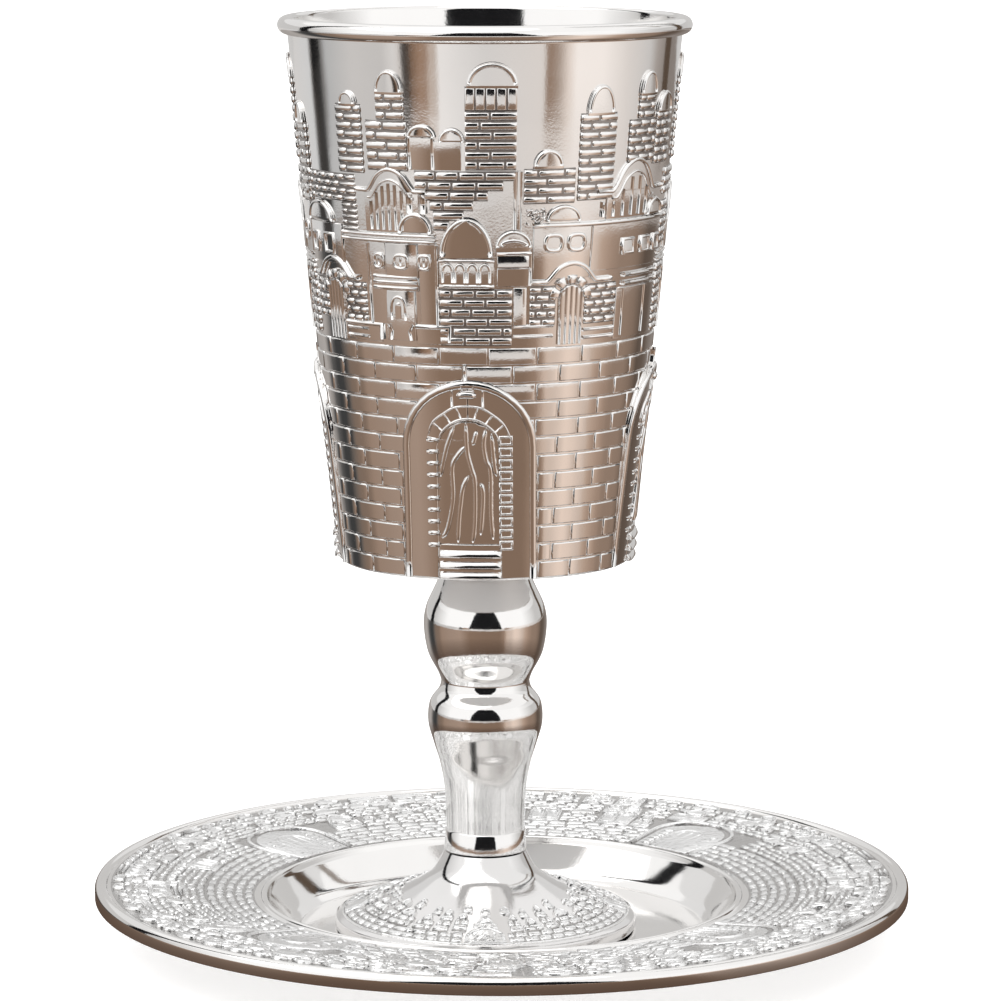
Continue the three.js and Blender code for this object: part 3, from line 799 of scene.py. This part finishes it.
def skyline(town):
    # Two low domes on plain walls that lean forwards.
    town.block(-22.9, -15.8, 73.2, 79, leaning(73.2, 0.14, 0.05))
    town.block(-15.4, -7, 73.2, 78.4, leaning(73.2, 0.1, 0.05))
    uprights(town, [-22.8, -15.6], 73.4, 78.8, 0.56, 0.7)
    town.dome(-23.4, -14.6, 79, 2.2, MID, ring=0.4, width=0.9)
    town.dome(-13.8, -5.8, 78.2, 2.5, LOW, ring=0.4, width=0.7)
    # The middle tower, with an arcade of upright stones below its dome.
    town.dome(-5.3, 9.5, 88.2, 4.0, MID, ring=0.5, foot=87.6, bulge=0.0, width=0.95)
    # A backing behind the arcade's stones, in darker silver: painted shade between them.
    town.ground.turn = town.turn
    town.ground.block(-5.8, 9.3, 83.7, 87.9, 0.28)
    for left in (-5.7, -2.7, 0.3, 3.4, 6.5):
        town.block(left, left + 2.72, 83.9, 87.7, HIGH, bevel=0.22)
    town.bricks(-5.8, 9.3, 73.3, 83.7, 6, 4.9, start=1)
    # The towers to both sides of it.
    town.bricks(-37.4, -23.6, 72.9, 81.7, 5, 4.2)
    for sizes in ((-33.4, -24.2, 81.8, 86.7, 3, 3.6, (-33.4, -24.2), 3.8),
                  (-49.4, -39.3, 72.2, 84.3, 8, 4.4, (-47.5, -40.7), 2.3),
                  (29.3, 42.3, 67.6, 82.9, 10, 4.1, (31.2, 41), 4.9)):
        tower(town, *sizes)
    town.bricks(48.2, 61.6, 73.8, 81.3, 5, 3.2)
    for sizes in ((51.9, 60, 81.4, 85.8, 3, 3.2, (51.9, 60.4), 4),
                  (62.4, 73, 73, 82.4, 6, 3.4, (62.6, 72.6), 3.4),
                  (83.5, 98.5, 73, 87.6, 9, 3.8, (84.5, 97.5), 4.2),
                  (101, 111, 66, 80, 9, 3.4, (102, 110), 3.8)):
        tower(town, *sizes)


def bowl(material, shaded, brushed):
    bowl_body(material, brushed)
    surface = Surface(cone, CUP_X)
    ground = Relief(surface)
    wall = Relief(surface, ground)
    city_wall(wall)
    for turn in QUARTERS:
        gateway(wall, turn)
    wall.piece("bowl_city_wall", material, *ON_BOWL)
    city = Relief(surface, ground, uneven=0.03, flatness=0.9)
    for turn in (0, 180):
        city_front(city, turn)
    city.piece("bowl_city", material, *ON_BOWL)
    # The backing behind the city's bricks, in darker silver: painted shade in the joints.
    ground.piece("bowl_joints_painted_shade", shaded, *ON_BOWL)


# ---- Stem ----

def stem(material):
    belly = spline([(7.2, 20.6), (7.25, 23.4), (7.6, 28.4), (8.35, 32.6), (9.45, 36.2),
                    (10.5, 40.1),
                    (10.2, 43.9), (8.5, 46.4), (8.1, 47.9)], 6)
    shoulder = spline([(8.1, 47.9), (8.7, 49.6), (10.55, 53.3), (11.3, 58.2), (10.85, 61.7),
                       (9.5, 64.8), (8.9, 66.1), (8.3, STEM_TOP)], 6)
    collar = [(7.6, STEM_BOTTOM + 0.15), (7.38, 19.8), (7.3, 20.0), (7.2, 20.1)]
    profile = [(0, STEM_BOTTOM), (7.5, STEM_BOTTOM)] + collar
    profile += belly + shoulder[1:] + [(0, STEM_TOP)]
    turned_piece("stem_body", profile, 128, CUP_X, 35, material, *ON_STEM)


# ---- Foot ----

FLARE = [(7.5, 15.9), (9.4, 12.5), (11.5, 10.7), (15.5, 8.5), (21.5, 6.1), (27.4, 4.1)]
FOOT_BORDER = 26.4  # radius at which the relief starts; it stands inwards from there


def flare(up):
    """The foot's upper surface at a distance inwards from its border, along the radius."""
    path = FLARE_CURVE
    r = FOOT_BORDER - up
    for (r0, z0), (r1, z1) in zip(path, path[1:]):
        if r0 <= r <= r1:
            z = z0 + (z1 - z0) * (r - r0) / (r1 - r0)
            length = hypot(r1 - r0, z1 - z0)
            return r, z, (z0 - z1) / length, (r1 - r0) / length
    return r, path[-1][1], 0.0, 1.0


FLARE_CURVE = spline(FLARE, 8)


def foot(set_apart, cast, shaded):
    inner = [(r - 0.4, z - FOOT_SHEET) for r, z in FLARE_CURVE[::-1] if z - FOOT_SHEET > 2.2]
    profile = [(0, 13.4), (5.4, 13.2)] + inner[::-1][4:]
    profile += [(26.3, 2.6), (26.5, FOOT_BOTTOM)]
    profile += arc(FOOT_RIM - 0.4, FOOT_BOTTOM + 0.4, 0.4, -90, 0, 5)
    profile += arc(FOOT_RIM - 0.45, 3.6, 0.45, 0, 70, 5)
    profile += FLARE_CURVE[::-1] + [(7.3, FOOT_TOP), (0, FOOT_TOP)]
    # The foot's body takes the darker silver, which is painted shade.
    turned_piece("foot_body", profile, 192, CUP_X, 35, set_apart, *ON_FOOT)
    surface = Surface(flare, CUP_X, step=1.2)
    ground = Relief(surface)
    town = Relief(surface, ground, uneven=0.09, flatness=0.8)
    for turn in QUARTERS:
        town.turn = turn
        foot_town(town)
    town.piece("foot_relief", cast, *ON_FOOT)
    # The backing behind the foot's bricks, in darker silver: painted shade in the joints.
    ground.piece("foot_joints_painted_shade", shaded, *ON_FOOT)


def foot_town(town):
    """A quarter of the little city on the foot."""
    moulding(town, -45, 45, [0.1], 0.34, 0.5)
    for left, right in ((-37, -10), (10, 53)):
        town.bricks(left, right, 0.4, 3.5, 2, 2.7, 0.42, bevel=0.25)
    town.dome(-8.5, 8.5, 2.6, 2.4, 0.4, ring=0.45, foot=0.4, width=0.7)
    uprights(town, [-4, 0, 4], 0.6, 3.4, 0.62, 0.6)
    for left, right, low, high, rows in (
            (-36, -27, 3.6, 6.2, 2), (-25, -18, 3.6, 8.2, 3), (-16, -9, 4.2, 7.4, 2),
            (12, 18, 3.6, 7.0, 2), (19, 28, 3.6, 5.4, 2), (30, 36, 3.6, 8.6, 3),
            (38, 51, 3.6, 6.4, 2)):
        town.bricks(left, right, low, high, rows, 2.2, 0.5, joint=0.3, bevel=0.25)
    for left, right, spring, rise in (
            (-34.5, -28.5, 6.2, 1.5), (-24.5, -18.5, 8.2, 1.7), (-15.5, -9.5, 7.4, 1.5),
            (-4.5, 4.5, 6.0, 1.8), (12.5, 17.5, 7.0, 1.5), (20.5, 26.5, 5.4, 1.7),
            (30.5, 35.5, 8.6, 1.9), (40, 49, 6.4, 2.1)):
        town.dome(left, right, spring, rise, 0.48, ring=0.35, width=0.55)
    town.block(-6, 6, 4.6, 6.1, 0.46)
    for left in (-5, 1):
        loop(town, left, left + 4, 4.9, 5.8, 0.66, corners=4, width=0.4)
    for left, right, low, high in ((-32, -27, 8.2, 10.4), (-14, -8, 9.4, 11.4), (-3, 3, 8.4, 10.8),
                                   (9, 15, 9, 11), (20, 25, 7.6, 10), (42, 47, 9, 11.6)):
        town.block(left, right, low, high - 1, 0.34)
        town.dome(left, right, high - 1, 1.0, 0.34, ring=0.3, width=0.4)


# ---- Saucer ----

BORDER_SLOPE = (BORDER_OUTER_Z - BORDER_INNER_Z) / (BORDER_OUTER - BORDER_INNER)
BORDER_FOOT = 45.5  # radius at which the saucer's relief starts; it stands outwards from there


def border(up):
    r = BORDER_FOOT + up
    lean = hypot(1, BORDER_SLOPE)
    z = BORDER_INNER_Z + BORDER_SLOPE * (r - BORDER_INNER)
    return r, z, -BORDER_SLOPE / lean, 1 / lean


def saucer(material, cast, shaded):
    lip = arc(73.7, 9.9, 1.3, 0, 90, 8)
    profile = [(0, 0), (38.7, 0), (44.0, 5.8), (45.5, 6.4), (72.7, 9.3), (73.9, 9.2), (73.9, 8.0)]
    profile += arc(SAUCER_RADIUS - 0.35, SAUCER_EDGE_FOOT + 0.35, 0.35, -90, 0, 4)
    profile += lip + [(73.2, 11.13), (72.9, 10.95), (BORDER_OUTER, BORDER_OUTER_Z)]
    profile += [(60, border(60 - BORDER_FOOT)[1]), (BORDER_INNER, BORDER_INNER_Z)]
    profile += arc(43.9, 7.65, 0.62, 20, 172, 10)
    profile += spline([(43.1, 7.1), (41.6, 5.2), (39.6, 2.9), (38.7, 2.15),
                       (SAUCER_FLOOR_RADIUS, 1.5),
                       (36.6, SAUCER_FLOOR_TOP)], 4)
    profile += [(20, SAUCER_FLOOR_TOP), (0, SAUCER_FLOOR_TOP)]
    turned_piece("saucer_body", profile, 320, 0.0, 35, material, *ON_SAUCER)
    surface = Surface(border, 0.0, flipped=True)
    ground = Relief(surface)
    town = Relief(surface, ground, uneven=0.1, flatness=0.8)
    for turn in (48, 138, 228, 318):
        town.turn = turn
        ground.turn = turn
        # A thin plate under the whole relief, in darker silver: painted shade between the houses.
        ground.block(-45, 45, 0.1, 26.7, 0.04)
        saucer_town(town)
    town.piece("saucer_relief", cast, *ON_SAUCER)
    # The plate and the brick backings, in darker silver: painted shade.
    ground.piece("saucer_joints_painted_shade", shaded, *ON_SAUCER)


def saucer_town(town):
    """A quarter of the city on the saucer, which stands outwards from the well."""
    for left, right in ((-45, -9.4), (9.4, 45)):
        town.bricks(left, right, 0.4, 9.2, 5, 3.6, 0.4, joint=0.42)
    gate_left = [(-9, 0.4), (-9, 3), (-9, 6)] + town.arch_path(-9, 9, 9, 7.5, 16)
    town.line(gate_left + [(9, 6), (9, 3), (9, 0.4)], 1.0, 0.6)
    town.dome(-7.9, 7.9, 8.6, 6.4, 0.34, ring=0, foot=0.4)
    town.line([(-3.6, 0.6)] + town.arch_path(-3.6, 3.6, 8, 3.4) + [(3.6, 0.6)], 0.8, 0.62)
    uprights(town, [-2, 0, 2], 0.6, 10, 0.56, 0.7)
    for up in [1.2 + 1.6 * i for i in range(6)]:
        for left in (-6.8, 4.6):
            town.block(left, left + 2.2, up, up + 1.1, 0.54, bevel=0.25)
    # Three rows of houses behind the wall, each further out.
    for foot, head, rise, slack in (
            (9.4, 14.4, 3.0, 1.6), (15.6, 19.8, 2.4, 1.4), (20.9, 24.4, 2.1, 0.3)):
        angle = -45.0 + rng.uniform(0, 2)
        while angle < 43:
            width = rng.uniform(3.6, 7.4)
            right = min(angle + width, 45.5)
            top = head + rng.uniform(-slack, slack)
            over_gate = foot < 15 and angle < 9.5 and right > -9.5
            if right - angle > 2.4 and not over_gate:
                saucer_house(town, angle, right, foot, top, rise)
            angle = right + rng.uniform(0.3, 0.8)


def saucer_house(town, left, right, foot, head, rise):
    """A house of bricks or with windows, under a dome, a flat roof or two small domes."""
    kind = rng.random()
    if kind < 0.6:
        rows = max(2, round((head - foot) / 1.5))
        town.bricks(left, right, foot, head, rows, 2.6, 0.5, joint=0.4, bevel=0.27)
    else:
        town.block(left, right, foot, head, 0.44, bevel=0.25)
        middle = (left + right) / 2
        for a, b in ((left + 0.5, middle - 0.3), (middle + 0.3, right - 0.5)):
            loop(town, a, b, foot + 0.9, head - 0.8, 0.66, corners=4 if kind < 0.8 else 10,
                 width=0.55)
    inset = (right - left) * rng.uniform(0.04, 0.2)
    roof = rng.random()
    if roof < 0.7:
        town.dome(left + inset, right - inset, head, min(rise, 26.3 - head), 0.5, ring=0.45,
                    width=0.8)
    elif roof < 0.85:
        middle = (left + right) / 2
        for a, b in ((left + 0.2, middle - 0.2), (middle + 0.2, right - 0.2)):
            town.dome(a, b, head, 1.5, 0.46, ring=0.35, width=0.6)
    else:
        moulding(town, left, right, [head + 0.4, head + 1.3], 0.6, 0.7)


# ---- Stage ----

def glow(name, stops, near=0.0, far=1.0):
    """A card's light: colours by azimuth round the cup, and a painted brown shade close below it.
    """
    material, tree = new_material(name)
    tree.nodes.clear()
    where = add_node(tree, "TexCoord", {}).outputs["Object"]
    split = add_node(tree, "SeparateXYZ", {"Vector": where}).outputs
    back = add_node(tree, "Math", {0: split["Y"], 1: -1.0}, operation="MULTIPLY")
    turn = add_node(tree, "Math", {0: split["X"], 1: back.outputs["Value"]}, operation="ARCTAN2")
    share = add_node(tree, "MapRange", {"From Min": -pi, "From Max": pi,
                                        "Value": turn.outputs["Value"]})
    ramp = add_node(tree, "ValToRGB", {"Fac": share.outputs["Result"]})
    elements = ramp.color_ramp.elements
    while len(elements) > 1:
        elements.remove(elements[-1])
    for i, (azimuth, colour) in enumerate(stops):
        place = (azimuth + 180) / 360
        stop = elements[0] if i == 0 else elements.new(place)
        stop.position = place
        stop.color = (*colour, 1.0)
    distance = add_node(tree, "VectorMath", {0: where}, operation="LENGTH")
    fade = add_node(tree, "MapRange", {"From Min": near * MM, "From Max": far * MM,
                                       "Value": distance.outputs["Value"]})
    mix = add_node(tree, "Mix", {"A": (*CUP_SHADE_BROWN, 1.0), "B": ramp.outputs["Color"],
                                 "Factor": fade.outputs["Result"]}, data_type="RGBA")
    light = add_node(tree, "Emission", {"Color": mix.outputs["Result"]})
    add_node(tree, "OutputMaterial", {"Surface": light.outputs["Emission"]})
    return material


def card(name, rows, material):
    """A studio card of (r, azimuth, z) points in rows, which only reflections see."""
    points = [(r * sin(radians(azimuth)), -r * cos(radians(azimuth)), z)
              for row in rows for r, azimuth, z in row]
    width = len(rows[0])
    faces = [(k, k + 1, k + width + 1, k + width)
             for k in range(len(points) - width) if (k + 1) % width]
    obj = new_object(name, points, faces, material)
    obj.visible_camera = False
    obj.visible_diffuse = False
    obj.visible_shadow = False


def table_reach(azimuth):
    """How far the brown table reaches round the cup: less in front than behind."""
    return 482 + 118 * (abs(azimuth) / 90) ** 2.6


def standing_card(name, low_azimuths, high_azimuths, distance, low, high, colour):
    """An upright card round the cup, of one colour or of stops by azimuth."""
    stops = colour if isinstance(colour, list) else [(-180, colour)]
    count = 12 if low_azimuths[1] - low_azimuths[0] < 90 else 72
    rows = [[(distance, first + (last - first) * i / count, z) for i in range(count + 1)]
            for (first, last), z in ((low_azimuths, low), (high_azimuths, high))]
    card(name, rows, glow(name, stops))


def tones(rows):
    """Stops by azimuth, from how light the silver shows each, up to 255, and how brown it is."""
    return [(azimuth, tuple(min(1.2, (level * part / 255) ** 2.2 / 0.86)
                            for part in (1 + 0.17 * warmth, 1.0, 1 - 0.12 * warmth)))
            for azimuth, level, warmth in rows]


# Painted shade: the dark brown that the table card fades to close to the cup.
CUP_SHADE_BROWN = (0.10, 0.065, 0.048)
BLACK = (0.008, 0.008, 0.009)
MOCHA = (0.10, 0.07, 0.05)
TAUPE = (0.30, 0.26, 0.23)
GREY = (0.62, 0.61, 0.60)
HAZE = (0.82, 0.815, 0.81)
WHITE = (1.1, 1.095, 1.09)

# What lies round the cup, by azimuth from the front: the table, then the paper beyond it with
# the darker things that stand on it.
TABLE = tones((
    (-158, 150, 0.2), (-140, 160, 0.2), (-133, 130, 0.2), (-128, 85, 0.1), (-121, 62, 0.0),
    (-114, 62, 0.0), (-109, 92, 0.5), (-104, 103, 0.9), (-96, 106, 1.0), (-88, 125, 1.0),
    (-71, 132, 0.9), (-48, 137, 0.9), (-40, 125, 1.0), (-30, 108, 1.2), (0, 104, 1.2),
    (26, 104, 1.2), (34, 122, 1.1), (40, 175, 0.7), (48, 183, 0.6), (56, 202, 0.6), (64, 196, 0.6),
    (71, 180, 0.6), (80, 152, 0.9), (88, 132, 1.0), (97, 119, 1.0), (108, 117, 1.0),
    (116, 108, 1.0), (127, 78, 0.9), (136, 84, 0.8), (144, 100, 0.6), (154, 120, 0.4)))
PAPER_EDGE = tones((
    (-158, 199, 0.1), (-126, 201, 0.0), (-122, 60, 0.2), (-113, 60, 0.2), (-109, 180, 0.0),
    (-60, 197, 0.1), (-52, 218, 0.1), (-30, 226, 0.1), (-20, 222, 0.1), (0, 205, 0.1),
    (34, 208, 0.2), (56, 222, 0.2), (92, 205, 0.2), (134, 150, 0.3)))
BEYOND = tones((
    (-158, 199, 0.1), (-126, 201, 0.0), (-123, 82, 0.3), (-119, 55, 0.3), (-114, 60, 0.1),
    (-110, 122, 0.1), (-106, 174, 0.0), (-84, 190, 0.1), (-62, 186, 0.1), (-54, 205, 0.1),
    (-50, 190, 0.2), (-49, 56, 0.4), (-45, 60, 1.0), (-43, 92, 1.5), (-38, 118, 1.4),
    (-34, 122, 1.2), (-33, 165, 0.6), (-28.5, 168, 0.5), (-27, 224, 0.1), (0, 203, 0.1),
    (34, 204, 0.2), (36, 112, 1.2), (40, 122, 1.0), (44, 150, 0.6), (49, 200, 0.4), (55, 230, 0.2),
    (72, 229, 0.2), (92, 205, 0.2), (112, 188, 0.1), (120, 150, 0.3), (134, 120, 0.4)))


FLOOR_REACH = 8000.0
FLOOR_LEVEL = -0.1  # just clear of the saucer's underside


def studio():
    world = bpy.data.worlds.new("studio")
    world.use_nodes = True
    sky = world.node_tree.nodes["Background"].inputs
    sky["Color"].default_value = (1, 0.995, 0.99, 1)
    sky["Strength"].default_value = 1.05
    bpy.context.scene.world = world

    paper, tree = new_material("pale_paper")
    shader = tree.nodes["Principled BSDF"].inputs
    shader["Base Color"].default_value = (0.9, 0.9, 0.9, 1)
    shader["Roughness"].default_value = 0.9
    shader["Emission Color"].default_value = (1, 1, 1, 1)
    shader["Emission Strength"].default_value = 0.4
    corners = [(x * FLOOR_REACH, y * FLOOR_REACH, FLOOR_LEVEL)
               for x, y in ((-1, -1), (1, -1), (1, 1), (-1, 1))]
    floor = new_object("floor", corners, [(0, 1, 2, 3)], paper)

    lamp = bpy.data.lights.new("soft_light", "SUN")
    lamp.energy = 0.7
    lamp.angle = radians(70)
    light = placed("soft_light", lamp)
    light.rotation_euler = (radians(12), radians(-18), 0)

    # What the silver mirrors: a brown table, paler paper beyond it, and dark things round it.
    near, height = 76, 0.5
    reaches = (lambda a: near, table_reach, lambda a: table_reach(a) * 1.22, lambda a: 1600)
    rings = [[(reach(a), a, height) for a in (5.0 * i - 180 for i in range(73))]
             for reach in reaches]
    # The table fades to painted shade, a dark brown, close to the cup.
    card("table", rings[0:2], glow("table", TABLE, near, 180))
    card("paper_edge", rings[1:3], glow("paper_edge", PAPER_EDGE))
    card("beyond", rings[2:4], glow("beyond", BEYOND))
    standing_card("dark_front", (-31, 31), (-15, 15), 860, 0, 640, BLACK)
    standing_card("dark_left", (-122, -112), (-122, -112), 1010, 0, 2000, BLACK)
    standing_card("dark_right", (130, 139), (131, 138), 1010, 0, 560, MOCHA)
    for name, azimuths, colour in (
            ("taupe_strip", (117, 121), TAUPE), ("black_strip", (131, 135), BLACK),
            ("mocha_strip", (140, 143), MOCHA)):
        standing_card(name, azimuths, azimuths, 1010, 560, 2200, colour)
    for name, low, high, haze in (("low_sky", 0, 520, GREY), ("mid_sky", 520, 1000, HAZE)):
        stops = [(-110, haze), (-75, WHITE), (75, WHITE), (110, haze)]
        standing_card(name, (-180, 180), (-180, 180), 1600, low, high, stops)


# The camera: its place in millimetres, how far it looks down in degrees, its turn in radians.
CAMERA_AT = (-2.2, -829.5, 212.5)
CAMERA_DOWN = 9.0
CAMERA_ASIDE = -0.0024
LENS = 165.4


def camera():
    data = bpy.data.cameras.new("camera")
    data.sensor_width = 36.0
    data.lens = LENS
    data.clip_start, data.clip_end = 0.05, 20
    cam = placed("camera", data)
    cam.location = [part * MM for part in CAMERA_AT]
    cam.rotation_euler = (radians(90 - CAMERA_DOWN), 0.0, CAMERA_ASIDE)
    bpy.context.scene.camera = cam


# ---- The set ----

plate = silver("silver_plate", (0.9, 0.89, 0.88), 0.07, 0.25, 0.2)
cast = silver("silver_cast", (0.88, 0.88, 0.88), 0.09, 0.5, 0.9, 900.0)
# Two darker silvers for the ground behind the relief: painted shade in the joints and between the
# houses.
shaded = silver("silver_painted_shade_in_joints", (0.34, 0.32, 0.31), 0.28, 0.5, 0.4, 900.0)
dim = silver("silver_painted_shade_in_streets", (0.5, 0.49, 0.48), 0.2, 0.5, 0.8, 900.0)
# The foot's silver is a darker copy of the plate: painted shade, for the foot's duller reflections.
set_apart = silver("silver_foot_painted_shade", (0.8, 0.79, 0.785), 0.09, 0.4, 0.35)
brushed = silver("silver_brushed", (0.74, 0.74, 0.74), 0.42, 1.0, 0.2, metallic=0.25)
camera()
studio()
saucer(plate, cast, dim)
foot(set_apart, cast, dim)
stem(plate)
bowl(plate, shaded, brushed)

scene_view = bpy.context.scene.view_settings
scene_view.view_transform = "Standard"
